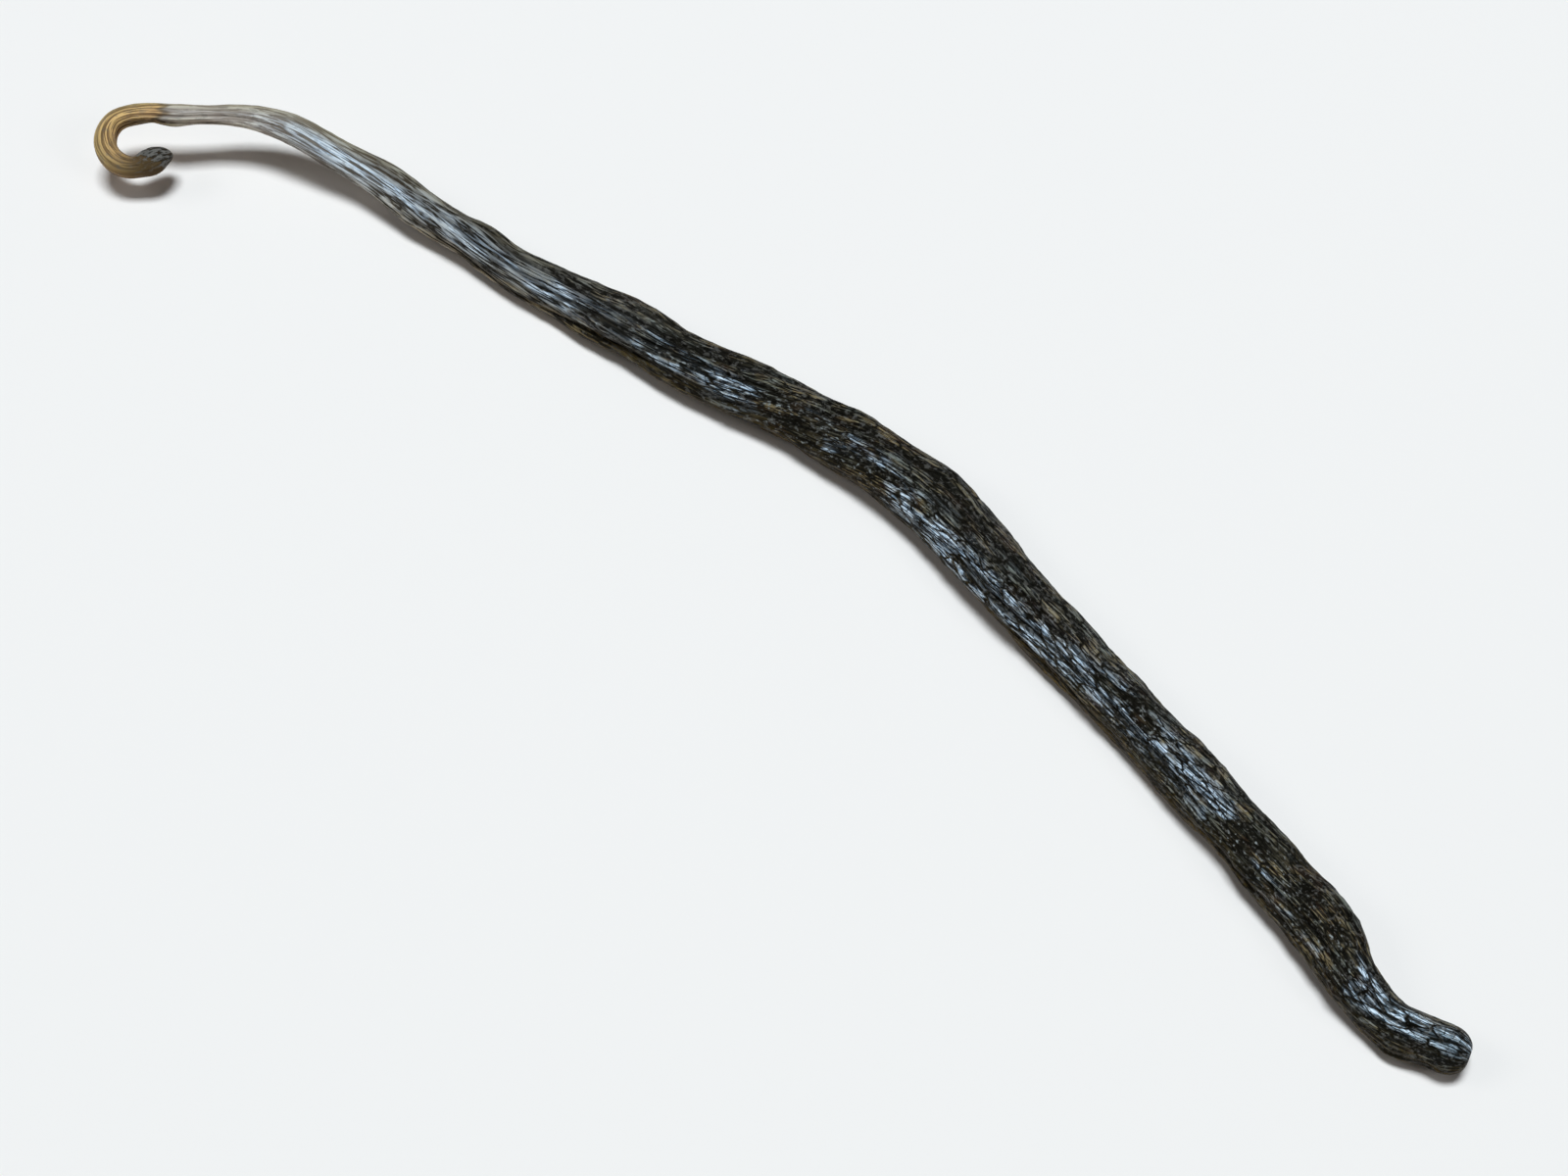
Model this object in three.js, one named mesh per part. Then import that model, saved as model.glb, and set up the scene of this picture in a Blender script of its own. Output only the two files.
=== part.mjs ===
// Cured vanilla pod: one long wrinkled pod lying as it rests.
// Stem curl at -X, blossom end at +X, floor at z = 0.
import * as THREE from 'three';

// Driving dimensions in millimetres and degrees.
const CURL = {
  centre: [-78.9, -7.95, 3.85],
  radius: 2.68,
  azimuth: 38.7,
  tilt: 30,
  from: -66,
  to: -262,
  steps: 6,
};
const CUT_END = [-75.55, -5.9, 2.9];

// Centre line of the body: x, y and lift of the underside off the floor.
const BODY = [
  [-77.4, -3.7, 5.3],
  [-71.1, 1.4, 4.7],
  [-63.1, 3.9, 3.2],
  [-53.5, 5.2, 1.45],
  [-43.3, 5.4, 0.35],
  [-30.7, 6.8, 0],
  [-13, 8.5, 0.1],
  [4, 10.5, 0],
  [20.2, 7.3, 0.15],
  [38.9, 3.2, 0],
  [54.5, -0.9, 0.1],
  [65.4, -4.6, 0],
  [71.4, -6.9, 0],
  [75.9, -6.6, 0.2],
  [79.7, -5.7, 0.35],
];

// Distance along the pod and full width there.
const WIDTH = [
  [0, 2],
  [0.8, 2.4],
  [1.8, 2.8],
  [2.7, 2.75],
  [4.2, 2.25],
  [6, 2.35],
  [16, 2.2],
  [21, 2.15],
  [24, 2.45],
  [31, 3.3],
  [36, 3.15],
  [40, 3],
  [46, 3.6],
  [52, 4.15],
  [60, 4.4],
  [67, 5.1],
  [73, 5.7],
  [84, 5.7],
  [94, 6.2],
  [104, 6.7],
  [114, 6.9],
  [120, 6.3],
  [126, 5.85],
  [140, 5.8],
  [151, 5.8],
  [162, 5.9],
  [167, 5.4],
  [172, 4.3],
  [175, 4.4],
  [179, 4.4],
];

// Distance along the pod and thickness as a share of width.
const FLATNESS = [
  [0, 0.85],
  [5, 0.98],
  [25, 0.92],
  [60, 0.86],
  [100, 0.78],
  [150, 0.8],
  [179, 0.92],
];

// Local swellings and dents: distance, reach along, angle, spread, height.
const SWELLINGS = [
  [0.5, 0.9, 325, 60, -0.25],
  [2.3, 0.9, 325, 55, 0.2],
  [14.6, 1.0, 205, 60, -0.2],
  [17.2, 1.4, 215, 55, 0.32],
  [36.5, 2.6, 205, 45, -0.15],
  [40.0, 5.5, 35, 60, 0.6],
  [44.0, 5.0, 205, 48, 0.42],
  [51.0, 4.0, 210, 50, -0.55],
  [53.2, 3.0, 35, 55, 0.5],
  [56.0, 3.0, 60, 60, -0.22],
  [68.5, 4.5, 210, 55, 0.5],
  [77.0, 4.5, 85, 60, -0.32],
  [88.0, 4.0, 20, 60, 0.3],
  [112.0, 5.0, 190, 70, -0.3],
  [121.0, 3.0, 110, 50, 0.25],
  [131.0, 2.6, 70, 70, -0.3],
  [146.0, 4.0, 210, 60, 0.25],
  [157.5, 2.4, 120, 80, -0.28],
  [167.0, 2.0, 30, 60, -0.3],
  [173.4, 1.4, 205, 50, 0.34],
  [176.2, 1.1, 215, 60, -0.15],
];

// Lengthwise furrows: place round the pod as a share of a turn.
const FURROWS = [0.02, 0.155, 0.31, 0.44, 0.565, 0.72, 0.85];
const FURROW_DEPTH = [
  [0, 0.0],
  [3, 0.1],
  [20, 0.16],
  [50, 0.34],
  [95, 0.5],
  [150, 0.5],
  [170, 0.36],
  [179, 0.2],
];

const SEAT = 0.93;
const SEAM_PUSH = 0.055;
const KNOB_ROUND = 0.9;
const RIM_ROUND = 1.6;
const RIM_REACH = 2.1;
const SCAR_DEPTH = 0.3;
const STEM_END = 18;
const STEM_RINGS = 36;
const BODY_RINGS = 162;
const COLUMNS_PER_LOBE = 4;

const RAD = Math.PI / 180;
const TURN = 2 * Math.PI;

// Monotone cubic through [distance, value] pairs.
function profile(pairs) {
  const n = pairs.length;
  const step = [];
  const rise = [];
  for (let i = 0; i < n - 1; i += 1) {
    step.push(pairs[i + 1][0] - pairs[i][0]);
    rise.push((pairs[i + 1][1] - pairs[i][1]) / step[i]);
  }
  const slope = [rise[0]];
  for (let i = 1; i < n - 1; i += 1) {
    const same = rise[i - 1] * rise[i] > 0;
    slope.push(same ? (2 * rise[i - 1] * rise[i]) / (rise[i - 1] + rise[i]) : 0);
  }
  slope.push(rise[n - 2]);
  return (s) => {
    if (s <= pairs[0][0]) return pairs[0][1];
    if (s >= pairs[n - 1][0]) return pairs[n - 1][1];
    let i = 0;
    while (s > pairs[i + 1][0]) i += 1;
    const t = (s - pairs[i][0]) / step[i];
    const t2 = t * t;
    const t3 = t2 * t;
    return (
      (2 * t3 - 3 * t2 + 1) * pairs[i][1] +
      (t3 - 2 * t2 + t) * step[i] * slope[i] +
      (3 * t2 - 2 * t3) * pairs[i + 1][1] +
      (t3 - t2) * step[i] * slope[i + 1]
    );
  };
}

// Natural cubic spline through values at rising parameters.
function spline(at, values) {
  const n = at.length;
  const bend = new Array(n).fill(0);
  const work = new Array(n).fill(0);
  for (let i = 1; i < n - 1; i += 1) {
    const share = (at[i] - at[i - 1]) / (at[i + 1] - at[i - 1]);
    const p = share * bend[i - 1] + 2;
    bend[i] = (share - 1) / p;
    const jump =
      (values[i + 1] - values[i]) / (at[i + 1] - at[i]) -
      (values[i] - values[i - 1]) / (at[i] - at[i - 1]);
    work[i] = ((6 * jump) / (at[i + 1] - at[i - 1]) - share * work[i - 1]) / p;
  }
  bend[n - 1] = 0;
  for (let i = n - 2; i >= 0; i -= 1) bend[i] = bend[i] * bend[i + 1] + work[i];
  return (t) => {
    let i = 0;
    while (i < n - 2 && t > at[i + 1]) i += 1;
    const h = at[i + 1] - at[i];
    const a = (at[i + 1] - t) / h;
    const b = (t - at[i]) / h;
    const curve = ((a ** 3 - a) * bend[i] + (b ** 3 - b) * bend[i + 1]) * ((h * h) / 6);
    return a * values[i] + b * values[i + 1] + curve;
  };
}

// Smooth repeatable noise in three directions, from 0 to 1.
function lattice(i, j, k) {
  let h = Math.imul(i, 374761393) + Math.imul(j, 668265263) + Math.imul(k, 1440662683);
  h = Math.imul(h ^ (h >>> 13), 1274126177);
  return ((h ^ (h >>> 16)) >>> 0) / 4294967296;
}

function noise(x, y, z) {
  const i = Math.floor(x);
  const j = Math.floor(y);
  const k = Math.floor(z);
  const ease = (t) => t * t * t * (t * (t * 6 - 15) + 10);
  const u = ease(x - i);
  const v = ease(y - j);
  const w = ease(z - k);
  let sum = 0;
  for (let a = 0; a < 2; a += 1) {
    for (let b = 0; b < 2; b += 1) {
      for (let c = 0; c < 2; c += 1) {
        const weight = (a ? u : 1 - u) * (b ? v : 1 - v) * (c ? w : 1 - w);
        sum += weight * lattice(i + a, j + b, k + c);
      }
    }
  }
  return sum;
}

// Centre line, measured out by distance from the cut end of the stem.
function centreLine() {
  const turn = CURL.azimuth * RAD;
  const tilt = CURL.tilt * RAD;
  const across = new THREE.Vector3(Math.cos(turn), Math.sin(turn), 0);
  const up = new THREE.Vector3(
    -Math.sin(turn) * Math.cos(tilt),
    Math.cos(turn) * Math.cos(tilt),
    Math.sin(tilt),
  );
  const knots = [new THREE.Vector3(...CUT_END)];
  for (let i = 0; i <= CURL.steps; i += 1) {
    const angle = (CURL.from + ((CURL.to - CURL.from) * i) / CURL.steps) * RAD;
    const knot = new THREE.Vector3(...CURL.centre);
    knot.addScaledVector(across, CURL.radius * Math.cos(angle));
    knot.addScaledVector(up, CURL.radius * Math.sin(angle));
    knots.push(knot);
  }
  for (const [x, y, lift] of BODY) knots.push(new THREE.Vector3(x, y, lift));

  const at = [0];
  for (let i = 1; i < knots.length; i += 1) {
    at.push(at[i - 1] + knots[i].distanceTo(knots[i - 1]));
  }
  const xs = spline(at, knots.map((p) => p.x));
  const ys = spline(at, knots.map((p) => p.y));
  const zs = spline(at, knots.map((p) => p.z));
  const count = 2000;
  const points = [];
  const lengths = [0];
  for (let i = 0; i <= count; i += 1) {
    const t = (at[at.length - 1] * i) / count;
    points.push(new THREE.Vector3(xs(t), ys(t), zs(t)));
    if (i) lengths.push(lengths[i - 1] + points[i].distanceTo(points[i - 1]));
  }
  return { points, lengths, total: lengths[count] };
}

function pointAt(line, s) {
  const { points, lengths } = line;
  let i = 1;
  while (i < lengths.length - 1 && lengths[i] < s) i += 1;
  const t = (s - lengths[i - 1]) / (lengths[i] - lengths[i - 1]);
  return points[i - 1].clone().lerp(points[i], t);
}

// Depth of the nearest lengthwise furrow at a share u of a turn.
function furrow(u, s, depth) {
  const n = FURROWS.length;
  let total = 0;
  for (let k = 0; k < n; k += 1) {
    const left = (FURROWS[k] - FURROWS[(k + n - 1) % n] + 1) % 1;
    const right = (FURROWS[(k + 1) % n] - FURROWS[k] + 1) % 1;
    let off = (((u - FURROWS[k]) % 1) + 1) % 1;
    if (off > 0.5) off -= 1;
    const reach = off < 0 ? left / 2 : right / 2;
    const near = 1 - Math.abs(off) / reach;
    if (near > 0) {
      const fade = 0.15 + 1.9 * noise(k * 7.3 + 0.5, 3.5, s / 10) ** 2;
      total -= depth * fade * near * near;
    }
  }
  return total;
}

function swelling(angle, s) {
  let total = 0;
  for (const [at, reach, facing, spread, height] of SWELLINGS) {
    const along = (s - at) / reach;
    let off = (angle / RAD - facing) % 360;
    if (off > 180) off -= 360;
    if (off < -180) off += 360;
    total += height * Math.exp(-along * along - (off / spread) ** 2);
  }
  return total;
}

function twist(s) {
  return 0.9 * Math.sin(s / 38) + 0.24 * Math.sin(s / 11 + 1);
}

function buildPod() {
  const line = centreLine();
  const width = profile(WIDTH);
  const flatness = profile(FLATNESS);
  const depth = profile(FURROW_DEPTH);
  const length = line.total;

  // Columns round the pod: one on each furrow and the rest between.
  const columns = [];
  FURROWS.forEach((start, k) => {
    const next = (FURROWS[(k + 1) % FURROWS.length] - start + 1) % 1;
    for (let c = 0; c < COLUMNS_PER_LOBE; c += 1) {
      columns.push((start + (next * c) / COLUMNS_PER_LOBE) % 1);
    }
  });

  // Rings along the pod: rounded cut end, body, then rim and shallow scar.
  const rings = [];
  for (const a of [22, 45, 68]) {
    rings.push([KNOB_ROUND * (1 - Math.cos(a * RAD)), Math.sin(a * RAD)]);
  }
  for (let i = 0; i < STEM_RINGS; i += 1) {
    rings.push([KNOB_ROUND + ((STEM_END - KNOB_ROUND) * i) / STEM_RINGS, 1]);
  }
  for (let i = 0; i <= BODY_RINGS; i += 1) {
    rings.push([STEM_END + ((length - RIM_REACH - STEM_END) * i) / BODY_RINGS, 1]);
  }
  const inner = 1 - (2 * RIM_ROUND) / width(length);
  for (const a of [25, 50, 75, 100]) {
    const k = inner + (1 - inner) * Math.cos(a * RAD);
    rings.push([length - RIM_REACH + RIM_REACH * Math.sin(a * RAD), k]);
  }
  for (const share of [0.66, 0.33]) {
    rings.push([length - SCAR_DEPTH * (1 - share * share), inner * share]);
  }

  const frameAt = (s) => {
    const ahead = pointAt(line, Math.min(s + 0.3, length));
    const behind = pointAt(line, Math.max(s - 0.3, 0));
    const along = ahead.sub(behind).normalize();
    const side = new THREE.Vector3(0, 0, 1).cross(along).normalize();
    const up = along.clone().cross(side);
    const centre = pointAt(line, s);
    centre.z += (SEAT * width(s) * flatness(s)) / 2;
    return { centre, side, up };
  };

  const positions = [];
  const push = (p) => positions.push(p.x, p.y, Math.max(p.z, 0));
  for (const [s, scale] of rings) {
    const { centre, side, up } = frameAt(s);
    const half = width(s) / 2;
    for (const u of columns) {
      const wander =
        0.2 * Math.sin(TURN * u + s / 9) +
        0.1 * Math.sin(2 * TURN * u - s / 17) +
        0.05 * Math.sin(3 * TURN * u + s / 4);
      const angle = TURN * u + twist(s) + wander;
      const lump = noise(5 + 1.4 * Math.cos(angle), 9 + 1.4 * Math.sin(angle), s / 6) - 0.5;
      const three = 1 + SEAM_PUSH * Math.cos(3 * angle - 0.7 - s / 60);
      const relief =
        furrow(u, s, depth(s)) + swelling(angle, s) + 0.26 * half * lump + 0.1 * depth(s);
      const outX = (half * three + relief) * Math.cos(angle) * scale;
      const outY = (half * flatness(s) * three + relief) * Math.sin(angle) * scale;
      push(centre.clone().addScaledVector(side, outX).addScaledVector(up, outY));
    }
  }
  const n = columns.length;
  const stemTip = positions.length / 3;
  push(frameAt(0).centre);
  const scarTip = stemTip + 1;
  push(frameAt(length - SCAR_DEPTH).centre);

  const faces = [];
  for (let r = 0; r < rings.length - 1; r += 1) {
    for (let c = 0; c < n; c += 1) {
      const a = r * n + c;
      const b = r * n + ((c + 1) % n);
      faces.push(a, b, b + n, a, b + n, a + n);
    }
  }
  const last = (rings.length - 1) * n;
  for (let c = 0; c < n; c += 1) {
    faces.push(stemTip, (c + 1) % n, c);
    faces.push(scarTip, last + c, last + ((c + 1) % n));
  }

  const geometry = new THREE.BufferGeometry();
  geometry.setAttribute('position', new THREE.Float32BufferAttribute(positions, 3));
  geometry.setIndex(faces);
  geometry.computeBoundingBox();
  const box = geometry.boundingBox;
  geometry.translate(-(box.min.x + box.max.x) / 2, -(box.min.y + box.max.y) / 2, -box.min.z);
  geometry.computeVertexNormals();
  return geometry;
}

const skin = new THREE.MeshStandardMaterial({ color: 0x3b3128, roughness: 0.45, metalness: 0 });
const pod = new THREE.Mesh(buildPod(), skin);
pod.name = 'pod';

const part = new THREE.Group();
part.name = 'vanilla_pod';
part.add(pod);

export default part;
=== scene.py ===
import math
from types import SimpleNamespace

import bpy
import numpy as np
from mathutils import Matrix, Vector


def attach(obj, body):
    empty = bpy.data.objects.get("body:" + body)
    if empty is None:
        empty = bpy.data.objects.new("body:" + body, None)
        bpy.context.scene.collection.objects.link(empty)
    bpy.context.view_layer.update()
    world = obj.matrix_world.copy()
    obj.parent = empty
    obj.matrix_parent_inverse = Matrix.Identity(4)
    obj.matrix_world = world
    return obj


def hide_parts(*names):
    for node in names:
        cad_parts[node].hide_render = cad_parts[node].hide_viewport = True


# ---------------------------------------------------------------------------
# The pod's shape, in millimetres and degrees: the same named values as the solid's.

CURL_CENTRE = (-78.9, -7.95, 3.85)
CURL_RADIUS = 2.68
CURL_AZIMUTH = 38.7
CURL_TILT = 30
CURL_FROM = -66
CURL_TO = -262
CURL_STEPS = 6
CUT_END = (-75.55, -5.9, 2.9)

# Centre line of the body: x, y and lift of the underside off the floor.
BODY = [
    (-77.4, -3.7, 5.3),
    (-71.1, 1.4, 4.7),
    (-63.1, 3.9, 3.2),
    (-53.5, 5.2, 1.45),
    (-43.3, 5.4, 0.35),
    (-30.7, 6.8, 0),
    (-13, 8.5, 0.1),
    (4, 10.5, 0),
    (20.2, 7.3, 0.15),
    (38.9, 3.2, 0),
    (54.5, -0.9, 0.1),
    (65.4, -4.6, 0),
    (71.4, -6.9, 0),
    (75.9, -6.6, 0.2),
    (79.7, -5.7, 0.35),
]

# Distance along the pod and full width there.
WIDTH = [
    (0, 2.0),
    (0.8, 2.4),
    (1.8, 2.8),
    (2.7, 2.75),
    (4.2, 2.25),
    (6, 2.35),
    (16, 2.2),
    (21, 2.15),
    (24, 2.45),
    (31, 3.3),
    (36, 3.15),
    (40, 3),
    (46, 3.6),
    (52, 4.15),
    (60, 4.4),
    (67, 5.1),
    (73, 5.7),
    (84, 5.7),
    (94, 6.2),
    (104, 6.7),
    (114, 6.9),
    (120, 6.3),
    (126, 5.85),
    (140, 5.8),
    (151, 5.8),
    (162, 5.9),
    (167, 5.4),
    (172, 4.3),
    (175, 4.4),
    (179, 4.4),
]

# Distance along the pod and thickness as a share of width.
FLATNESS = [(0, 0.85), (5, 0.98), (25, 0.92), (60, 0.86), (100, 0.78), (150, 0.8), (179, 0.92)]

# Local swellings and dents: distance, reach along, angle, spread, height.
SWELLINGS = [
    (0.5, 0.9, 325, 60, -0.25),
    (2.3, 0.9, 325, 55, 0.2),
    (14.6, 1.0, 205, 60, -0.2),
    (17.2, 1.4, 215, 55, 0.32),
    (36.5, 2.6, 205, 45, -0.15),
    (40.0, 5.5, 35, 60, 0.6),
    (44.0, 5.0, 205, 48, 0.42),
    (51.0, 4.0, 210, 50, -0.55),
    (53.2, 3.0, 35, 55, 0.5),
    (56.0, 3.0, 60, 60, -0.22),
    (68.5, 4.5, 210, 55, 0.5),
    (77.0, 4.5, 85, 60, -0.32),
    (88.0, 4.0, 20, 60, 0.3),
    (112.0, 5.0, 190, 70, -0.3),
    (121.0, 3.0, 110, 50, 0.25),
    (131.0, 2.6, 70, 70, -0.3),
    (146.0, 4.0, 210, 60, 0.25),
    (157.5, 2.4, 120, 80, -0.28),
    (167.0, 2.0, 30, 60, -0.3),
    (173.4, 1.4, 205, 50, 0.34),
    (176.2, 1.1, 215, 60, -0.15),
]

# Lengthwise furrows: place round the pod as a share of a turn, and their depth along it.
FURROWS = (0.02, 0.155, 0.31, 0.44, 0.565, 0.72, 0.85)
FURROW_DEPTH = [(0, 0), (3, 0.1), (20, 0.16), (50, 0.34), (95, 0.5), (150, 0.5), (170, 0.36), (179, 0.2)]

SEAT = 0.93  # height of the centre line over the underside, as a share of half the thickness
SEAM_PUSH = 0.055  # how far the three lobes stand out, as a share of half the width
KNOB_ROUND = 0.9  # rounding of the cut end
RIM_ROUND = 1.6  # rounding of the blossom end, across the pod
RIM_REACH = 2.1  # and along it
SCAR_DEPTH = 0.3

# Fine relief that only this model has.
RIDGE_PITCH = 0.5
RIDGE_HEIGHT = [(0, 0.02), (6, 0.05), (30, 0.07), (70, 0.10), (150, 0.11), (179, 0.09)]
RIDGE_LENGTH = [(0, 4), (60, 4), (95, 3), (179, 2.3)]
CRUMPLE_HEIGHT = [(0, 0.02), (40, 0.04), (85, 0.1), (160, 0.13), (179, 0.1)]

# Angles round the pod: 0 is the far side, 90 the top and 180 the near side.
# The far side: more tan lines on the body, where they are partly a painted highlight, browner on the
# neck and olive on the curl.
FAR_TAN_AND_HIGHLIGHT_FACING = 35
FAR_TAN_AND_HIGHLIGHT_SPREAD = 40
# Painted shade on the lower near flank from the neck on, and a painted shadow line under the stem behind
# the curl: where they face, how far they spread and where they begin.
FLANK_SHADE_FACING = [(0, 194), (58, 197), (78, 215)]
FLANK_SHADE_SPREAD = 45
FLANK_SHADE_FROM = 37
FLANK_SHADE_FADE = 4
KNUCKLE_SHADE_FACING = 202
KNUCKLE_SHADE_SPREAD = 52
KNUCKLE_SHADE_AT = 14.9
KNUCKLE_SHADE_REACH = 2.7
# Where round the pod the painted sheen and glints face along its length, and how far they spread.
SHINE_SPREAD = 42
SHINE_FACING = [
    (0, 125),
    (34, 118),
    (42, 106),
    (56, 108),
    (80, 124),
    (95, 128),
    (112, 148),
    (124, 136),
    (135, 112),
    (160, 120),
    (172, 98),
    (179, 94),
]

# The dark of the cut end reaches this far, and farther towards one side.
CUT_REACH = 2.7
CUT_FADE = 0.7
CUT_LEAN = (-0.54, 0.68, 0.5)

# How much more, or less, of the skin carries the painted sheen, and the slightly paler glossy black,
# than its patches give.
SHINE = [
    (0, 0),
    (88, 0),
    (93, -0.1),
    (102, -0.08),
    (107, 0.07),
    (148, 0.09),
    (152, -0.12),
    (157, -0.02),
    (161, -0.08),
    (165, -0.1),
    (170, 0.12),
    (175, 0.3),
]

# Rings along the body, round each end and over the scar, columns round the pod, and
# points along its centre line.
RINGS = 580
END_RINGS = 10
SCAR_RINGS = 8
COLUMNS = 160
LINE_STEPS = 2001

# Camera: its height and turn in degrees, its distance in metres, and the width of its view.
VIEW_ELEVATION = 60
VIEW_TURN = 38.7
VIEW_DISTANCE = 0.259
VIEW_WIDTH = 32
VIEW_TARGET = (0.0057, -0.0062, 0.0)
SENSOR_WIDTH = 36

# Stage, in metres.
FLOOR_SIZE = 5.0
FLOOR_DROP = 0.00005
LIGHT_DISTANCE = 2.0

MM = 0.001
TURN = 2 * math.pi


# ---------------------------------------------------------------------------
# Curves and noise

def profile(pairs, s):
    """Monotone cubic through (distance, value) pairs, read at distances s."""
    at = np.array([p[0] for p in pairs], float)
    value = np.array([p[1] for p in pairs], float)
    step = np.diff(at)
    rise = np.diff(value) / step
    slope = np.zeros(len(at))
    slope[0] = rise[0]
    slope[-1] = rise[-1]
    for i in range(1, len(at) - 1):
        if rise[i - 1] * rise[i] > 0:
            slope[i] = 2 * rise[i - 1] * rise[i] / (rise[i - 1] + rise[i])
    s = np.clip(s, at[0], at[-1])
    i = np.clip(np.searchsorted(at, s, side="right") - 1, 0, len(step) - 1)
    t = (s - at[i]) / step[i]
    return (
        (2 * t**3 - 3 * t**2 + 1) * value[i]
        + (t**3 - 2 * t**2 + t) * step[i] * slope[i]
        + (3 * t**2 - 2 * t**3) * value[i + 1]
        + (t**3 - t**2) * step[i] * slope[i + 1]
    )


def spline(at, value, t):
    """Natural cubic spline through values at rising parameters, read at t."""
    n = len(at)
    bend = np.zeros(n)
    work = np.zeros(n)
    for i in range(1, n - 1):
        share = (at[i] - at[i - 1]) / (at[i + 1] - at[i - 1])
        p = share * bend[i - 1] + 2
        bend[i] = (share - 1) / p
        jump = (value[i + 1] - value[i]) / (at[i + 1] - at[i])
        jump -= (value[i] - value[i - 1]) / (at[i] - at[i - 1])
        work[i] = (6 * jump / (at[i + 1] - at[i - 1]) - share * work[i - 1]) / p
    for i in range(n - 2, -1, -1):
        bend[i] = bend[i] * bend[i + 1] + work[i]
    i = np.clip(np.searchsorted(at, t, side="left") - 1, 0, n - 2)
    h = at[i + 1] - at[i]
    a = (at[i + 1] - t) / h
    b = (t - at[i]) / h
    curve = ((a**3 - a) * bend[i] + (b**3 - b) * bend[i + 1]) * h * h / 6
    return a * value[i] + b * value[i + 1] + curve


def lattice(i, j, k):
    """A repeatable number from 0 to 1 for each point of a whole-number grid."""
    i, j, k = (np.asarray(v, np.int64).astype(np.uint32) for v in (i, j, k))
    h = i * np.uint32(374761393) + j * np.uint32(668265263) + k * np.uint32(1440662683)
    h = (h ^ (h >> np.uint32(13))) * np.uint32(1274126177)
    return (h ^ (h >> np.uint32(16))) / 4294967296.0


def noise(x, y, z):
    """Smooth repeatable noise from 0 to 1."""
    x, y, z = np.broadcast_arrays(x, y, z)
    i, j, k = np.floor(x), np.floor(y), np.floor(z)
    u, v, w = (t * t * t * (t * (t * 6 - 15) + 10) for t in (x - i, y - j, z - k))
    total = 0
    for a in (0, 1):
        for b in (0, 1):
            for c in (0, 1):
                weight = (u if a else 1 - u) * (v if b else 1 - v) * (w if c else 1 - w)
                total = total + weight * lattice(i + a, j + b, k + c)
    return total


def crest(value, sharpness):
    """Turns noise into lines: 1 along its middle level, falling off to both sides."""
    return np.clip(1 - np.abs(2 * value - 1) * sharpness, 0, 1)


def bell(turned, facing, spread):
    """1 where the skin faces an angle round the pod, falling off to both sides."""
    off = (turned - facing + 180) % 360 - 180
    return np.exp(-((off / spread) ** 2))


# ---------------------------------------------------------------------------
# Centre line and cross-section

def centre_line():
    """Points along the pod's middle at even distances, and its whole length."""
    turn, tilt = math.radians(CURL_AZIMUTH), math.radians(CURL_TILT)
    across = np.array([math.cos(turn), math.sin(turn), 0])
    up = np.array([-math.sin(turn) * math.cos(tilt), math.cos(turn) * math.cos(tilt), math.sin(tilt)])
    knots = [np.array(CUT_END)]
    for i in range(CURL_STEPS + 1):
        angle = math.radians(CURL_FROM + (CURL_TO - CURL_FROM) * i / CURL_STEPS)
        arm = across * math.cos(angle) + up * math.sin(angle)
        knots.append(np.array(CURL_CENTRE) + CURL_RADIUS * arm)
    knots = np.array(knots + [np.array(p) for p in BODY])
    at = np.concatenate([[0], np.cumsum(np.linalg.norm(np.diff(knots, axis=0), axis=1))])
    t = np.linspace(0, at[-1], LINE_STEPS)
    points = np.stack([spline(at, knots[:, c], t) for c in range(3)], axis=1)
    lengths = np.concatenate([[0], np.cumsum(np.linalg.norm(np.diff(points, axis=0), axis=1))])
    return points, lengths


def point_at(line, s):
    """Points of the centre line at distances s."""
    points, lengths = line
    return np.stack([np.interp(s, lengths, points[:, c]) for c in range(3)], axis=-1)


def furrow(u, s, depth):
    """Depth below the skin of the nearest lengthwise furrow."""
    total = 0
    n = len(FURROWS)
    for k, place in enumerate(FURROWS):
        left = (place - FURROWS[k - 1]) % 1
        right = (FURROWS[(k + 1) % n] - place) % 1
        off = (u - place) % 1
        off = np.where(off > 0.5, off - 1, off)
        near = np.clip(1 - np.abs(off) / np.where(off < 0, left / 2, right / 2), 0, None)
        fade = 0.15 + 1.9 * noise(k * 7.3 + 0.5, 3.5, s / 10) ** 2
        total = total - depth * fade * near**2
    return total


def swelling(angle, s):
    """Height of the local swellings and dents."""
    total = 0
    for at, reach, facing, spread, height in SWELLINGS:
        off = (np.degrees(angle) - facing + 180) % 360 - 180
        total = total + height * np.exp(-(((s - at) / reach) ** 2) - (off / spread) ** 2)
    return total


def rings(length):
    """Distance and scale of each ring: rounded cut end, body, then rim and shallow scar."""
    made = []
    for a in np.radians(np.linspace(8, 82, END_RINGS)):
        made.append((KNOB_ROUND * (1 - math.cos(a)), math.sin(a)))
    for s in np.linspace(KNOB_ROUND, length - RIM_REACH, RINGS):
        made.append((s, 1))
    inner = 1 - 2 * RIM_ROUND / profile(WIDTH, length)
    for a in np.radians(np.linspace(10, 100, END_RINGS)):
        made.append((length - RIM_REACH + RIM_REACH * math.sin(a), inner + (1 - inner) * math.cos(a)))
    for share in np.linspace(0.92, 0.08, SCAR_RINGS):
        made.append((length - SCAR_DEPTH * (1 - share**2), inner * share))
    return np.array(made)


def axes(line, s, length):
    """Sideways and upward directions across the pod at distances s."""
    along = point_at(line, np.minimum(s + 0.3, length)) - point_at(line, np.maximum(s - 0.3, 0))
    along /= np.linalg.norm(along, axis=1, keepdims=True)
    side = np.cross([0, 0, 1], along)
    side /= np.linalg.norm(side, axis=1, keepdims=True)
    return side, np.cross(along, side)


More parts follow.
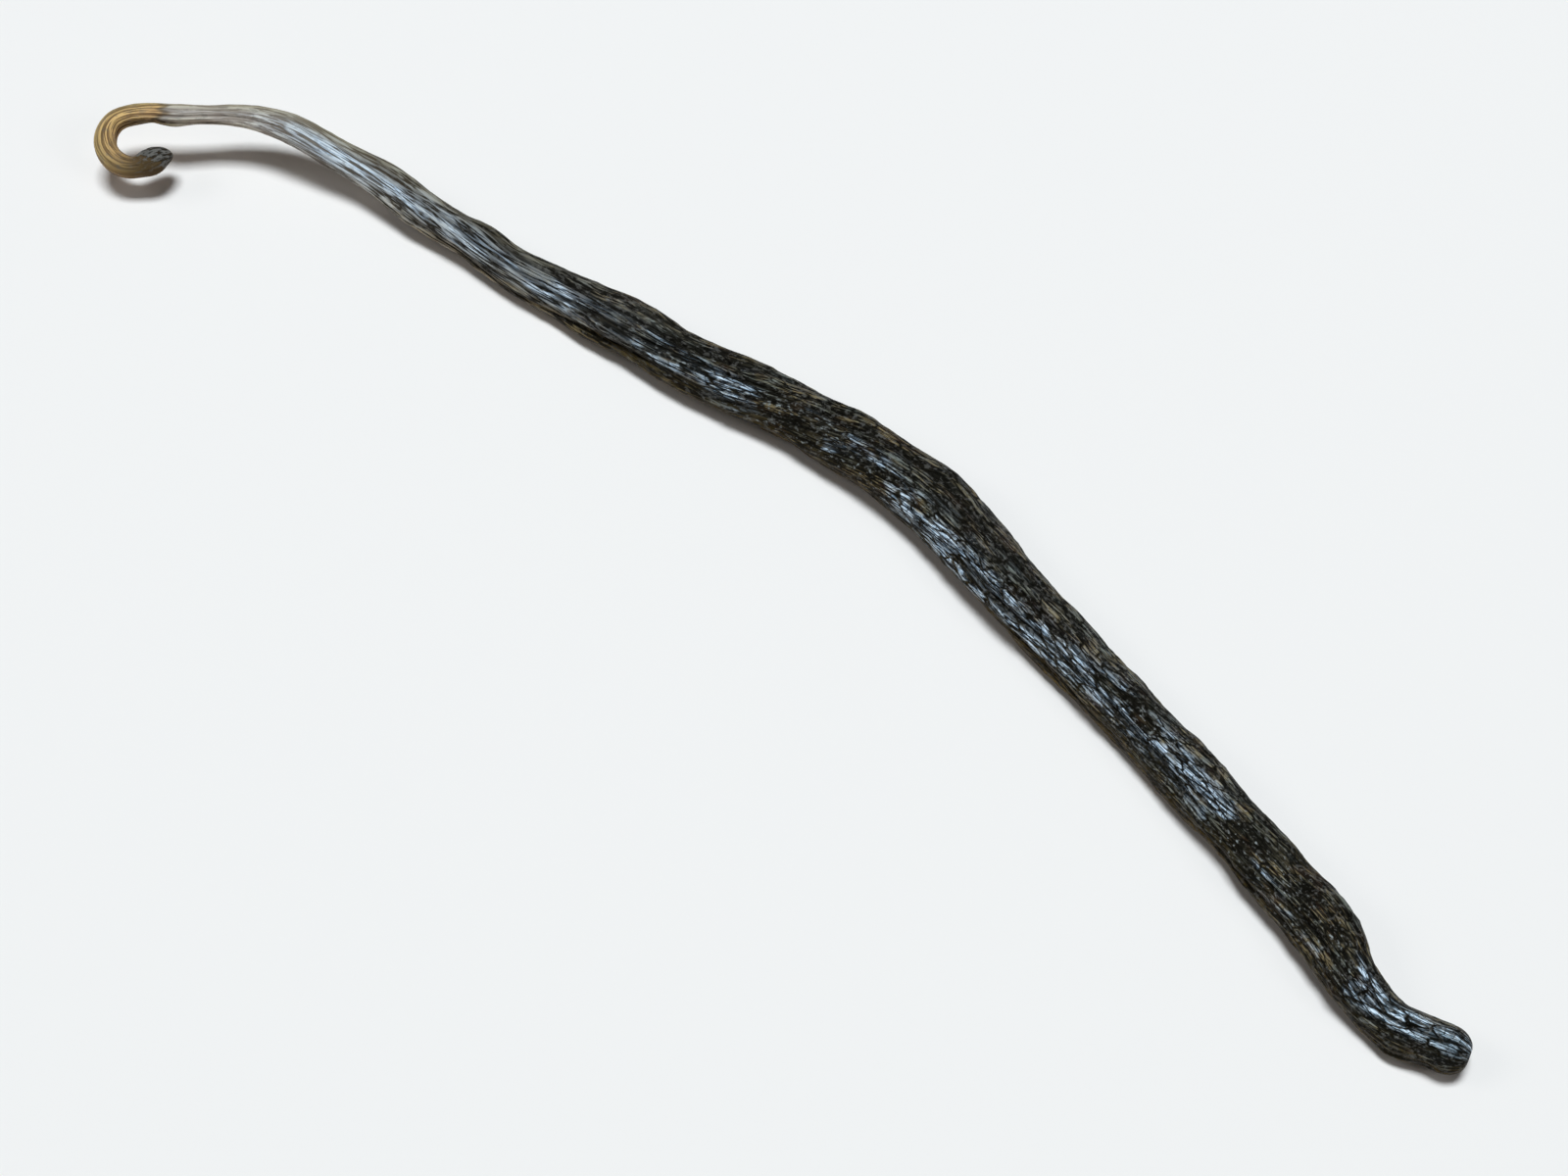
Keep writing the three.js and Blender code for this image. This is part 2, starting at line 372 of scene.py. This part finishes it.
def fine_relief(s, width, around):
    """Wrinkles, drawn on a cylinder of the pod's own width so that ridges split and merge."""
    cx, cy = width / 2 * np.cos(around), width / 2 * np.sin(around)
    steps = np.concatenate([[[0.0]], np.diff(s, axis=0)])
    run = np.cumsum(steps / profile(RIDGE_LENGTH, s), axis=0)
    bend = 0.5 * (noise(cx * 0.7 + 31, cy * 0.7 + 17, s / 5) - 0.5)
    fx, fy = cx / RIDGE_PITCH + bend, cy / RIDGE_PITCH - bend
    ridges = crest(noise(fx + 50, fy + 50, run), 1.8)
    hairs = crest(noise(fx * 1.9 + 80, fy * 1.9 + 20, run * 2), 1.6)
    crumples = noise(cx * 1.1 + 7, cy * 1.1 + 9, s / 1.6)
    small_crumples = noise(cx * 2.3 + 3, cy * 2.3 + 1, s / 0.9)

    height = profile(RIDGE_HEIGHT, s) * (ridges - 0.45 + 0.45 * (hairs - 0.45))
    height = height + profile(CRUMPLE_HEIGHT, s) * (crumples + 0.5 * small_crumples - 0.75)
    lines = np.clip(0.7 * ridges + 0.3 * hairs, 0, 1)
    flow = np.stack([cx, cy, run + 0 * around], axis=-1)
    return height, lines, flow


def skin():
    """The pod's surface as rings by columns, with what the material reads at each point."""
    line = centre_line()
    length = line[1][-1]
    ring = rings(length)
    s, scale = ring[:, 0:1], ring[:, 1:2]
    side, up = axes(line, s[:, 0], length)
    width, flat, depth = profile(WIDTH, s), profile(FLATNESS, s), profile(FURROW_DEPTH, s)
    centre = point_at(line, s[:, 0])
    centre[:, 2] += (SEAT * width * flat / 2)[:, 0]

    u = np.arange(COLUMNS)[None, :] / COLUMNS
    twist = 0.9 * np.sin(s / 38) + 0.24 * np.sin(s / 11 + 1)
    wander = 0.2 * np.sin(TURN * u + s / 9) + 0.1 * np.sin(2 * TURN * u - s / 17)
    wander = wander + 0.05 * np.sin(3 * TURN * u + s / 4)
    angle = TURN * u + twist + wander
    lump = noise(5 + 1.4 * np.cos(angle), 9 + 1.4 * np.sin(angle), s / 6) - 0.5
    groove = furrow(u, s, depth)
    height, lines, flow = fine_relief(s, width, angle - twist)
    relief = groove + swelling(angle, s) + 0.13 * width * lump + 0.1 * depth + height

    lobes = 1 + SEAM_PUSH * np.cos(3 * angle - 0.7 - s / 60)
    out_side = (width / 2 * lobes + relief) * np.cos(angle) * scale
    out_up = (width / 2 * flat * lobes + relief) * np.sin(angle) * scale
    points = centre[:, None] + side[:, None] * out_side[..., None] + up[:, None] * out_up[..., None]
    points[..., 2] = np.maximum(points[..., 2], 0)
    tips = np.stack([centre[0], point_at(line, np.array([length - SCAR_DEPTH]))[0]])
    tips[1, 2] = centre[-1, 2]

    lean = (points - centre[:, None]) @ np.array(CUT_LEAN)
    turned = np.degrees(angle) % 360
    # Painted shade: the lower near flank, and a shadow line behind the curl's knuckle.
    flank_shade = bell(turned, profile(FLANK_SHADE_FACING, s), FLANK_SHADE_SPREAD)
    flank_shade = flank_shade * np.clip((s - FLANK_SHADE_FROM) / FLANK_SHADE_FADE, 0, 1)
    knuckle_shade = bell(turned, KNUCKLE_SHADE_FACING, KNUCKLE_SHADE_SPREAD)
    knuckle_shade = knuckle_shade * np.exp(-(((s - KNUCKLE_SHADE_AT) / KNUCKLE_SHADE_REACH) ** 2))
    reads = {
        "cut": np.clip((CUT_REACH + lean - s) / CUT_FADE, 0, 1),
        "under": flank_shade + np.clip(1.8 * knuckle_shade, 0, 1),
        # Painted sheen: the band facing up towards the camera, and how much of the skin carries it along
        # the pod.
        "sheen": bell(turned, profile(SHINE_FACING, s), SHINE_SPREAD),
        "shine": profile(SHINE, s) + 0 * u,
        "tanned": bell(turned, FAR_TAN_AND_HIGHLIGHT_FACING, FAR_TAN_AND_HIGHLIGHT_SPREAD),
        "crest": lines,
        "groove": np.clip(-groove / np.maximum(depth, 0.05), 0, 1),
        "along": s / length + 0 * u,
        "flow": flow,
    }
    return points, tips, reads


# ---------------------------------------------------------------------------
# Pieces

def fit_to_solid(points, tips):
    """Shifts the surface to the solid's own origin, and turns millimetres to metres."""
    low, high = points.reshape(-1, 3).min(0), points.reshape(-1, 3).max(0)
    shift = -(low + high) / 2
    shift[2] = -low[2]
    return (points + shift) * MM, (tips + shift) * MM


def skin_faces(rows, cols):
    """Quads between the rings, and a fan of triangles to the point at each end."""
    r, c = np.meshgrid(np.arange(rows - 1), np.arange(cols), indexing="ij")
    a, b = r * cols + c, r * cols + (c + 1) % cols
    quads = np.stack([a, b, b + cols, a + cols], axis=-1).reshape(-1, 4)
    ring = np.arange(cols)
    last = (rows - 1) * cols
    first_fan = np.stack([0 * ring + rows * cols, (ring + 1) % cols, ring], axis=-1)
    last_fan = np.stack([0 * ring + rows * cols + 1, last + ring, last + (ring + 1) % cols], axis=-1)
    return quads.tolist() + first_fan.tolist() + last_fan.tolist()


def add_reading(mesh, name, values):
    """Stores what the material reads at each point; the two end points take their ring's mean."""
    ends = np.stack([values[0].mean(0), values[-1].mean(0)])
    if values.ndim == 3:
        data = np.concatenate([values.reshape(-1, 3), ends])
        mesh.attributes.new(name, "FLOAT_VECTOR", "POINT").data.foreach_set("vector", data.ravel())
    else:
        data = np.concatenate([values.ravel(), ends])
        mesh.attributes.new(name, "FLOAT", "POINT").data.foreach_set("value", data)


def build_pod(material):
    points, tips, reads = skin()
    points, tips = fit_to_solid(points, tips)
    rows, cols = points.shape[:2]
    verts = np.concatenate([points.reshape(-1, 3), tips])
    mesh = bpy.data.meshes.new("pod_skin")
    mesh.from_pydata(verts.tolist(), [], skin_faces(rows, cols))
    mesh.polygons.foreach_set("use_smooth", np.ones(len(mesh.polygons), bool))
    for name, values in reads.items():
        add_reading(mesh, name, values)
    mesh.update()
    pod = bpy.data.objects.new("pod_skin", mesh)
    bpy.context.collection.objects.link(pod)
    mesh.materials.append(material)
    return pod


# ---------------------------------------------------------------------------
# Materials

class Nodes:
    """Short calls for a material's node tree."""

    def __init__(self, name):
        self.material = bpy.data.materials.new(name)
        self.material.use_nodes = True
        self.tree = self.material.node_tree
        self.shader = self.tree.nodes["Principled BSDF"]

    def add(self, kind, **settings):
        """A new node with these settings."""
        node = self.tree.nodes.new(kind)
        for key, value in settings.items():
            setattr(node, key, value)
        return node

    def feed(self, socket, value):
        """Links a socket, or sets a value, into an input."""
        if isinstance(value, bpy.types.NodeSocket):
            self.tree.links.new(value, socket)
        else:
            socket.default_value = value

    def attribute(self, name, output="Fac"):
        """A reading stored on the mesh."""
        return self.add("ShaderNodeAttribute", attribute_name=name).outputs[output]

    def math(self, operation, a, b, clamp=False):
        node = self.add("ShaderNodeMath", operation=operation, use_clamp=clamp)
        self.feed(node.inputs[0], a)
        self.feed(node.inputs[1], b)
        return node.outputs[0]

    def scaled(self, vector, factors):
        """The vector stretched by a factor for each axis."""
        node = self.add("ShaderNodeVectorMath", operation="MULTIPLY")
        self.feed(node.inputs[0], vector)
        node.inputs[1].default_value = factors
        return node.outputs[0]

    def noise(self, vector, scale, detail, roughness=0.5):
        node = self.add("ShaderNodeTexNoise")
        self.feed(node.inputs["Vector"], vector)
        node.inputs["Scale"].default_value = scale
        node.inputs["Detail"].default_value = detail
        node.inputs["Roughness"].default_value = roughness
        return node.outputs["Fac"]

    def bent(self, vector, factors, amount):
        """The vector pushed about by smooth noise."""
        node = self.add("ShaderNodeTexNoise")
        self.feed(node.inputs["Vector"], self.scaled(vector, factors))
        node.inputs["Scale"].default_value = 1.0
        node.inputs["Detail"].default_value = 2.0
        push = self.add("ShaderNodeVectorMath", operation="MULTIPLY_ADD")
        self.feed(push.inputs[0], node.outputs["Color"])
        push.inputs[1].default_value = (amount, amount, amount)
        self.feed(push.inputs[2], vector)
        return push.outputs[0]

    def cells(self, vector, feature, output):
        """Crackle: the distance to a cell's edge, or a colour for each cell."""
        node = self.add("ShaderNodeTexVoronoi", feature=feature)
        self.feed(node.inputs["Vector"], vector)
        node.inputs["Scale"].default_value = 1.0
        return node.outputs[output]

    def remap(self, value, low, high, to_low=0.0, to_high=1.0):
        """A smooth step from one range to another."""
        node = self.add("ShaderNodeMapRange", interpolation_type="SMOOTHSTEP")
        self.feed(node.inputs["Value"], value)
        node.inputs["From Min"].default_value = low
        node.inputs["From Max"].default_value = high
        node.inputs["To Min"].default_value = to_low
        node.inputs["To Max"].default_value = to_high
        return node.outputs["Result"]

    def mix(self, factor, a, b):
        """Goes from colour a to colour b as the factor goes from 0 to 1."""
        node = self.add("ShaderNodeMix", data_type="RGBA")
        self.feed(node.inputs["Factor"], factor)
        for socket, value in ((node.inputs[6], a), (node.inputs[7], b)):
            self.feed(socket, value if isinstance(value, bpy.types.NodeSocket) else (*value, 1))
        return node.outputs[2]


# The skin's colours: body, neck, stem curl, cracks and flank, and cut end. The sheen and glint colours
# are painted highlights; the flank's dark and the crack colours down the furrows are painted shade.
OILY_BLACK = (0.0055, 0.0045, 0.003)
GLOSSY_BLACK = (0.011, 0.010, 0.008)
RED_BROWN = (0.055, 0.022, 0.011)
TAN = (0.30, 0.225, 0.11)
STRAND_GREY = (0.17, 0.18, 0.15)
STRAND_BROWN = (0.22, 0.165, 0.085)
DARK_THREAD = (0.002, 0.0018, 0.0012)
# Painted sheen and painted glints: bluish and near-white colour standing for the sky-lit sheen on the
# oily skin.
PAINTED_SHEEN = (0.41, 0.52, 0.62)
END_PAINTED_SHEEN = (0.52, 0.67, 0.77)
PAINTED_GLINT = (0.84, 0.92, 0.98)
SPECK_AND_GLINT = (0.44, 0.48, 0.46)
CRACK_BLACK = (0.003, 0.0025, 0.0015)
NECK_BROWN = (0.25, 0.215, 0.175)
NECK_GREY = (0.40, 0.37, 0.33)
STEM_PINK = (0.54, 0.44, 0.36)
# Painted sheen on the neck.
PAINTED_NECK_SHEEN = (0.57, 0.69, 0.81)
FAR_STEM = (0.32, 0.25, 0.13)
FAR_NECK = (0.21, 0.165, 0.085)
PALE_STEM = (0.70, 0.62, 0.48)
PALE_NECK = (0.80, 0.80, 0.76)
OCHRE_DARK = (0.26, 0.135, 0.048)
OCHRE_LIGHT = (0.76, 0.47, 0.18)
OCHRE_RED = (0.52, 0.27, 0.14)
OLIVE = (0.42, 0.34, 0.12)
CURL_BROWN = (0.44, 0.235, 0.11)
CURL_TIP = (0.055, 0.032, 0.013)
CREASE = (0.07, 0.042, 0.015)
# Dark lines between fibres, and painted shade down the furrows.
STEM_CRACK_AND_SHADE = (0.13, 0.09, 0.055)
BODY_CRACK_AND_SHADE = (0.004, 0.0035, 0.0025)
# Painted shade of the flank, with the skin's brown threads through it on the neck and the body.
FLANK_SHADE = (0.012, 0.008, 0.003)
FLANK_NECK = (0.40, 0.31, 0.19)
FLANK_BODY = (0.165, 0.108, 0.030)
BURNT_BLACK = (0.010, 0.008, 0.006)
BURNT_GREY = (0.15, 0.135, 0.115)

SKIN_GLOSS = 0.07
SKIN_TINT = (1.0, 0.88, 0.62, 1)
BUMP_HEIGHT = 0.065 * MM


def skin_fields(n):
    """What the colours and the relief are drawn from: mesh readings, noise and cracks."""
    names = ("along", "groove", "sheen", "shine", "tanned", "under", "cut")
    f = SimpleNamespace(**{name: n.attribute(name) for name in names})
    flow = n.attribute("flow", "Vector")
    line = n.attribute("crest")

    # Broad patches, lengthwise fibres and threads, and fine specks.
    f.patches = n.noise(n.scaled(flow, (0.36, 0.36, 0.36)), 1.0, 3)
    f.tan_patches = n.noise(n.scaled(flow, (0.55, 0.55, 0.4)), 1.7, 3)
    f.red_patches = n.noise(n.scaled(flow, (0.4, 0.4, 0.7)), 1.3, 2)
    f.fibre = n.noise(n.scaled(flow, (2.3, 2.3, 0.6)), 1.0, 2, 0.5)
    f.thread = n.noise(n.scaled(flow, (5.6, 5.6, 0.9)), 1.0, 2, 0.6)
    f.speckle = n.noise(n.scaled(flow, (3.4, 3.4, 5.5)), 1.0, 2, 0.6)
    f.grain = n.math("ADD", n.math("MULTIPLY", f.fibre, 0.3), n.math("MULTIPLY", f.thread, 0.7))
    f.pale_line = n.math("MULTIPLY", n.remap(f.grain, 0.50, 0.57), n.remap(line, 0.1, 0.5, 0.25, 1.0))
    between = n.remap(f.grain, 0.455, 0.505, 1.0, 0.0)
    f.dark_line = n.math("MAXIMUM", between, n.remap(line, 0.0, 0.3, 0.9, 0.0))
    # Patches carrying the painted sheen, and a slightly paler glossy black.
    f.gloss = n.remap(n.math("ADD", f.patches, f.shine), 0.44, 0.54)
    f.neck_share = n.remap(f.along, 0.14, 0.46, 1.0, 0.0)

    # Crackled plates of the shrunken skin: broad ones, and small chips between finer cracks.
    bent = n.bent(flow, (1.3, 1.3, 0.8), 0.7)
    plates = n.scaled(bent, (1.35, 1.35, 0.8))
    chips = n.scaled(bent, (3.6, 3.6, 2.2))
    f.plate_rise = n.remap(n.cells(plates, "DISTANCE_TO_EDGE", "Distance"), 0.01, 0.09)
    f.chip_rise = n.remap(n.cells(chips, "DISTANCE_TO_EDGE", "Distance"), 0.0, 0.14)
    f.chip_shade = n.cells(chips, "F1", "Color")
    top = n.math("MULTIPLY", f.plate_rise, n.remap(f.chip_rise, 0.0, 0.6, 0.4, 1.0))
    f.top = n.math("MULTIPLY", top, n.remap(line, 0.0, 0.3, 0.3, 1.0))
    return f


def body_colour(n, f):
    """Dark oily skin with reddish and tan places and brown strands, under a painted sheen with painted
    glints in broken patches.
    """
    body = n.mix(f.gloss, OILY_BLACK, GLOSSY_BLACK)
    body = n.mix(n.math("MULTIPLY", n.remap(f.red_patches, 0.50, 0.66), 0.5), body, RED_BROWN)
    tan = n.remap(f.tan_patches, 0.45, 0.62, 0.06, 0.7)
    # More tan lines towards the far side, partly a painted highlight there.
    tan = n.math("MAXIMUM", tan, n.math("MULTIPLY", f.tanned, 0.55))
    body = n.mix(n.math("MULTIPLY", f.pale_line, tan), body, TAN)
    strand = n.mix(n.remap(f.red_patches, 0.42, 0.56), STRAND_GREY, STRAND_BROWN)
    strands = n.remap(f.tan_patches, 0.42, 0.60, 0.08, 0.9)
    strands = n.math("MULTIPLY", n.remap(f.thread, 0.51, 0.58), strands)
    body = n.mix(strands, body, strand)
    body = n.mix(n.remap(f.thread, 0.42, 0.48, 0.6, 0.0), body, DARK_THREAD)

    # Painted sheen: bluish colour on the plates in the band facing up towards the camera.
    sheen_paint = n.math("MULTIPLY", f.gloss, n.remap(f.sheen, 0.35, 0.92, 0.03, 1.0))
    sheen_paint = n.math("MULTIPLY", n.math("MULTIPLY", f.top, sheen_paint), n.remap(f.chip_shade, 0.2, 0.6, 0.4, 1.0))
    sheen_paint = n.math("MULTIPLY", sheen_paint, n.remap(f.thread, 0.42, 0.52, 0.12, 1.0))
    body = n.mix(sheen_paint, body, n.mix(n.remap(f.along, 0.93, 0.97), PAINTED_SHEEN, END_PAINTED_SHEEN))
    # Painted glints: near-white flecks within the painted sheen.
    glint_mask = n.math("MAXIMUM", n.remap(f.speckle, 0.51, 0.57), n.remap(f.thread, 0.53, 0.59))
    body = n.mix(n.math("MULTIPLY", glint_mask, sheen_paint), body, PAINTED_GLINT)
    # Pale specks of the skin, more of them in the painted sheen band, where they are painted glints.
    specks_and_glints = n.math("MULTIPLY", n.remap(f.speckle, 0.61, 0.67), n.remap(f.sheen, 0.1, 0.9, 0.1, 0.8))
    body = n.mix(specks_and_glints, body, SPECK_AND_GLINT)
    return n.mix(n.math("SUBTRACT", 1.0, f.top), body, CRACK_BLACK)


def neck_colour(n, f):
    """Paler fibrous neck with a painted silvery sheen towards its upper front, tan along its far side.
    """
    neck = n.mix(n.remap(f.patches, 0.38, 0.62), NECK_BROWN, NECK_GREY)
    neck = n.mix(n.remap(f.along, 0.12, 0.19, 0.85, 0.0), neck, STEM_PINK)
    # Painted sheen: silvery streaks in the band facing up towards the camera.
    neck_sheen = n.math("MULTIPLY", f.sheen, n.remap(f.grain, 0.43, 0.53))
    neck_sheen = n.math("MULTIPLY", neck_sheen, n.remap(f.along, 0.13, 0.18, 0.15, 0.95))
    neck_sheen = n.math("MULTIPLY", neck_sheen, n.remap(f.tan_patches, 0.42, 0.58, 1.0, 0.5))
    neck = n.mix(neck_sheen, neck, PAINTED_NECK_SHEEN)
    pale = n.mix(n.remap(f.along, 0.12, 0.18), PALE_STEM, PALE_NECK)
    neck = n.mix(n.math("MULTIPLY", f.pale_line, 0.75), neck, pale)
    far_side = n.mix(n.remap(f.along, 0.12, 0.22), FAR_STEM, FAR_NECK)
    return n.mix(n.math("MULTIPLY", f.tanned, 0.85), neck, far_side)


def curl_colour(n, f):
    """Ochre stem curl, browner towards its dark tip."""
    curl = n.mix(n.remap(f.grain, 0.42, 0.53), OCHRE_DARK, OCHRE_LIGHT)
    curl = n.mix(n.remap(f.red_patches, 0.44, 0.58, 0.0, 0.35), curl, OCHRE_RED)
    curl = n.mix(n.math("MULTIPLY", f.tanned, 0.5), curl, OLIVE)
    curl = n.mix(n.remap(f.along, 0.03, 0.07, 0.3, 0.0), curl, CURL_BROWN)
    return n.mix(n.remap(f.along, 0.014, 0.048, 0.95, 0.0), curl, CURL_TIP)


def with_curl(n, f, base):
    """Adds the stem curl, and the crease where it meets the neck."""
    share = n.remap(n.math("ADD", f.along, n.math("MULTIPLY", f.fibre, 0.02)), 0.096, 0.104, 1.0, 0.0)
    base = n.mix(share, base, curl_colour(n, f))
    crease = n.math("MULTIPLY", share, n.math("SUBTRACT", 1.0, share))
    return n.mix(n.math("MULTIPLY", crease, 2.6), base, CREASE)


def with_cracks_and_shade(n, f, base):
    """Adds dark lines between the neck's fibres, and painted shade down the furrows."""
    lines = n.math("MULTIPLY", f.dark_line, n.remap(f.along, 0.10, 0.26, 0.35, 0.95))
    lines = n.math("MULTIPLY", lines, n.remap(f.along, 0.35, 0.55, 1.0, 0.45))
    # Painted shade, darker the deeper the furrow.
    furrow_shade = n.math("MULTIPLY", n.remap(f.groove, 0.2, 0.65), n.remap(f.along, 0.15, 0.4, 0.2, 0.9))
    colour = n.mix(n.remap(f.along, 0.12, 0.30), STEM_CRACK_AND_SHADE, BODY_CRACK_AND_SHADE)
    return n.mix(n.math("MAXIMUM", lines, furrow_shade), base, colour)


def with_flank_shade(n, f, base):
    """Adds painted shade on the lower near flank and behind the curl's knuckle, with the skin's brown
    threads through it.
    """
    share = n.math("MULTIPLY", f.under, n.remap(f.speckle, 0.40, 0.58, 1.0, 0.55))
    light = n.mix(n.remap(f.along, 0.30, 0.42), FLANK_NECK, FLANK_BODY)
    return n.mix(share, base, n.mix(n.remap(f.thread, 0.48, 0.58), FLANK_SHADE, light))


def with_cut_end(n, f, base):
    """Adds the dark cut end, with a ragged edge."""
    burnt = n.mix(n.remap(f.speckle, 0.44, 0.58), BURNT_BLACK, BURNT_GREY)
    ragged = n.math("ADD", f.cut, n.remap(f.speckle, 0.38, 0.62, -0.45, 0.45))
    return n.mix(n.remap(ragged, 0.25, 0.75), base, burnt)


def skin_roughness(n, f):
    """Glossy in patches, dull down the cracks and on the stem."""
    rough = n.remap(f.patches, 0.44, 0.56, 0.42, 0.24)
    crown = n.math("MAXIMUM", f.top, n.math("MULTIPLY", n.remap(f.grain, 0.40, 0.48), f.neck_share))
    rough = n.math("ADD", rough, n.remap(crown, 0.0, 0.6, 0.15, 0.0))
    return n.math("ADD", rough, n.remap(f.along, 0.06, 0.14, 0.2, 0.0), clamp=True)


def skin_height(n, f):
    """Fibres on the neck, and plates and chips on the body."""
    body_share = n.math("SUBTRACT", 1.0, f.neck_share)
    height = n.math("MULTIPLY", n.remap(f.grain, 0.39, 0.50), f.neck_share)
    height = n.math("ADD", height, n.math("MULTIPLY", n.math("MULTIPLY", f.plate_rise, body_share), 0.8))
    height = n.math("ADD", height, n.math("MULTIPLY", n.math("MULTIPLY", f.chip_rise, body_share), 0.5))
    height = n.math("ADD", height, n.math("MULTIPLY", f.fibre, 0.8))
    return n.math("ADD", height, n.math("MULTIPLY", f.speckle, 0.5))


def pod_material():
    """Oily cured skin: near-black body, paler fibrous neck, ochre stem, dark cut end."""
    n = Nodes("cured_skin")
    f = skin_fields(n)
    base = n.mix(f.neck_share, body_colour(n, f), neck_colour(n, f))
    for layer in (with_curl, with_cracks_and_shade, with_flank_shade, with_cut_end):
        base = layer(n, f, base)
    n.feed(n.shader.inputs["Base Color"], base)
    n.feed(n.shader.inputs["Roughness"], skin_roughness(n, f))
    n.shader.inputs["Specular IOR Level"].default_value = SKIN_GLOSS
    n.shader.inputs["Specular Tint"].default_value = SKIN_TINT

    bump = n.add("ShaderNodeBump")
    bump.inputs["Strength"].default_value = 1.0
    bump.inputs["Distance"].default_value = BUMP_HEIGHT
    n.feed(bump.inputs["Height"], skin_height(n, f))
    n.feed(n.shader.inputs["Normal"], bump.outputs["Normal"])
    return n.material


def floor_material():
    n = Nodes("pale_floor")
    n.shader.inputs["Base Color"].default_value = (0.95, 0.85, 0.76, 1)
    n.shader.inputs["Roughness"].default_value = 0.9
    n.shader.inputs["Specular IOR Level"].default_value = 0.1
    return n.material


# ---------------------------------------------------------------------------
# Stage

def build_floor():
    bpy.ops.mesh.primitive_plane_add(size=FLOOR_SIZE, location=(0, 0, -FLOOR_DROP))
    floor = bpy.context.object
    floor.name = "floor"
    floor.data.materials.append(floor_material())


def aim(thing, target):
    """Turns a camera or light to look at the target."""
    direction = Vector(target) - thing.location
    thing.rotation_euler = direction.to_track_quat("-Z", "Y").to_euler()


def view_direction():
    """From the target towards the camera, on the floor and up."""
    turn = math.radians(VIEW_TURN)
    lift = math.radians(VIEW_ELEVATION)
    return Vector((math.sin(turn) * math.cos(lift), -math.cos(turn) * math.cos(lift), math.sin(lift)))


def build_camera():
    data = bpy.data.cameras.new("camera")
    data.sensor_width = SENSOR_WIDTH
    data.lens = SENSOR_WIDTH / 2 / math.tan(math.radians(VIEW_WIDTH / 2))
    data.clip_start = 0.01
    camera = bpy.data.objects.new("camera", data)
    bpy.context.collection.objects.link(camera)
    camera.location = Vector(VIEW_TARGET) + view_direction() * VIEW_DISTANCE
    aim(camera, VIEW_TARGET)
    bpy.context.scene.camera = camera


def softbox(name, turn, lift, size, power, colour):
    """An area light, placed by its turn from the camera's side and its height."""
    data = bpy.data.lights.new(name, "AREA")
    data.shape = "RECTANGLE"
    data.size, data.size_y = size
    data.energy = power
    data.color = colour
    light = bpy.data.objects.new(name, data)
    bpy.context.collection.objects.link(light)
    angle = math.radians(VIEW_TURN - 90 + turn)
    rise = math.radians(lift)
    flat = Vector((math.cos(angle), math.sin(angle), 0)) * math.cos(rise)
    light.location = (flat + Vector((0, 0, math.sin(rise)))) * LIGHT_DISTANCE
    aim(light, (0, 0, 0))


def build_lights():
    softbox("top_sky", 180, 85, (0.70, 0.48), 42, (0.76, 0.88, 1.0))
    softbox("left_fill", -95, 40, (0.75, 0.75), 3.8, (0.88, 0.94, 1.0))
    softbox("right_fill", 60, 40, (0.67, 0.67), 3.0, (0.88, 0.94, 1.0))
    world = bpy.data.worlds.new("studio")
    world.use_nodes = True
    background = world.node_tree.nodes["Background"]
    background.inputs["Color"].default_value = (0.85, 0.92, 1.0, 1)
    background.inputs["Strength"].default_value = 0.06
    bpy.context.scene.world = world
    bpy.context.scene.view_settings.view_transform = "Standard"


# ---------------------------------------------------------------------------

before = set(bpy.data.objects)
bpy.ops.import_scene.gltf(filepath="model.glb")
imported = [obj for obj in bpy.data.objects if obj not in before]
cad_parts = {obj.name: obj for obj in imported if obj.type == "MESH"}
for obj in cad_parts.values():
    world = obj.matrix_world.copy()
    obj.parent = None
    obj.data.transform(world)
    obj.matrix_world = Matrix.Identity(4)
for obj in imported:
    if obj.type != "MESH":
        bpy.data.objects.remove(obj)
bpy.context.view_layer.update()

pod = build_pod(pod_material())
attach(pod, "root")
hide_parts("pod")

build_floor()
build_camera()
build_lights()
